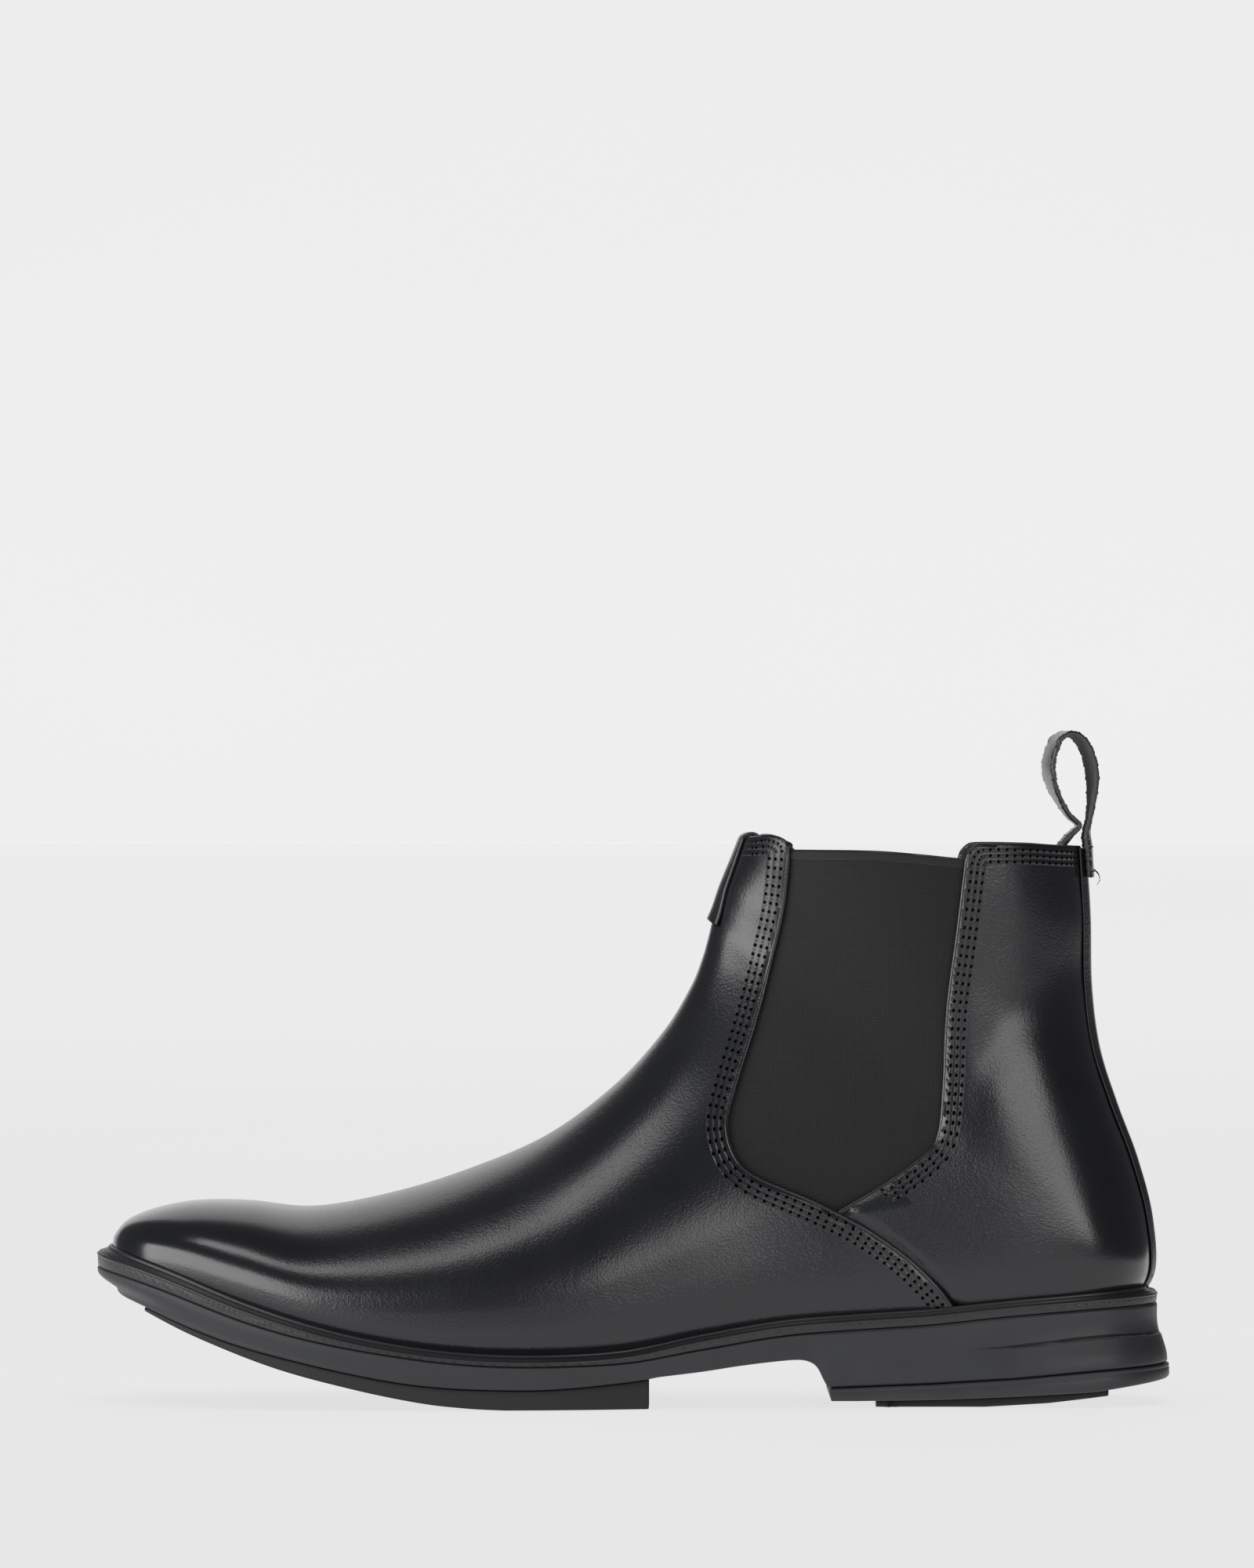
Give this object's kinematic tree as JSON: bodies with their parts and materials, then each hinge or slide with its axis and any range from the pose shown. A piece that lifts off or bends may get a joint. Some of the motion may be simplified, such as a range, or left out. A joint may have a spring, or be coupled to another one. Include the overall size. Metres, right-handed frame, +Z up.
{
  "type": "chelsea boot",
  "caption": "Left ankle-high boot in smooth leather with elastic side gussets, a pull loop at the back, a welt and a moulded sole with a low heel.",
  "frame": {"origin": "on the ground under the middle of the boot's overall length and width", "axes": "+X along the boot's length towards the heel, so the toe points to -X; -Y the outer side of the foot; +Z up"},
  "size_m": [0.3042, 0.1014, 0.1893],
  "materials": {
    "upper_leather": "black polished smooth leather",
    "strap_leather": "black leather strap with raw cut edges",
    "elastic": "black ribbed elastic webbing",
    "tape": "black folded woven tape",
    "stiffener": "pressed fibre stiffener",
    "lining": "matt lining leather",
    "board": "cellulose insole board",
    "filler": "granulated filler",
    "steel": "spring steel",
    "welt": "black moulded welt, semi-gloss",
    "sole": "charcoal moulded sole, satin",
    "tread": "darker rubber tread, matt"
  },
  "bodies": {
    "boot": {"vamp": "upper_leather", "quarter_outer": "upper_leather", "quarter_inner": "upper_leather", "gusset_outer": "elastic", "gusset_inner": "elastic", "gusset_tape_outer": "tape", "gusset_tape_inner": "tape", "back_strip": "strap_leather", "front_tab": "strap_leather", "loop_foot_outer": "strap_leather", "loop_foot_inner": "strap_leather", "toe_puff": "stiffener", "heel_counter": "stiffener", "vamp_lining": "lining", "quarter_lining": "lining", "insole_board": "board", "footbed": "lining", "filler": "filler", "shank": "steel", "welt": "welt", "sole_unit": "sole", "heel_top_piece": "sole", "forefoot_tread": "tread", "heel_tread": "tread"},
    "loop": {"pull_loop": "strap_leather"}
  },
  "joints": [
    {"name": "loop_swing", "type": "hinge", "parent": "boot", "child": "loop", "pos_m": [0.12729, 0.0019, 0.1612], "axis": [0, 1, 0], "range_deg": [-45, 60], "stiffness_Nm_per_rad": 0.02}
  ]
}
